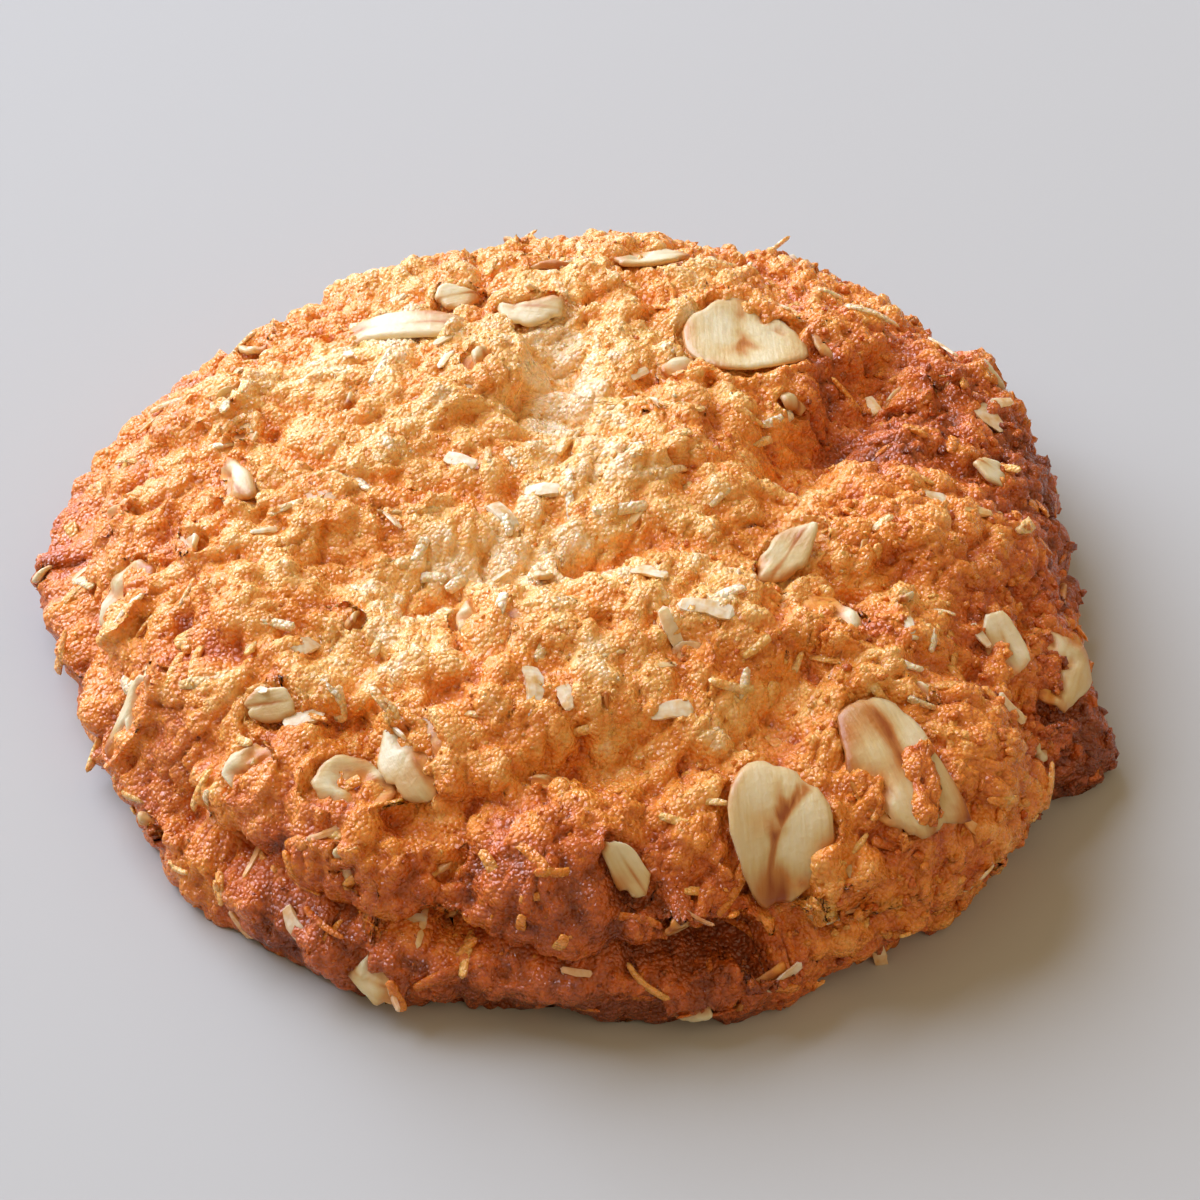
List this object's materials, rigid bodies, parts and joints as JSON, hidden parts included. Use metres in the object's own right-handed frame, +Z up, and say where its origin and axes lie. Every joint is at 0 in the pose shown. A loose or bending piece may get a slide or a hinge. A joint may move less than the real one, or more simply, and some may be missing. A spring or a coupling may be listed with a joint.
{
  "type": "anzac biscuit",
  "caption": "Round, thick oat and coconut biscuit with a cracked, knobbly golden crust, whole oat flakes on top and a flat underside.",
  "frame": {"origin": "on the flat underside, under the middle of the mound", "axes": "+Z up through the crust, +Y to the back, +X to the right; the thin skirt under the mound shows at the front, -Y"},
  "size_m": [0.0712, 0.0708, 0.0176],
  "materials": {
    "baked_dough": "matte baked crust, golden to red-brown"
  },
  "bodies": {
    "root": {"biscuit": "baked_dough"}
  },
  "joints": []
}
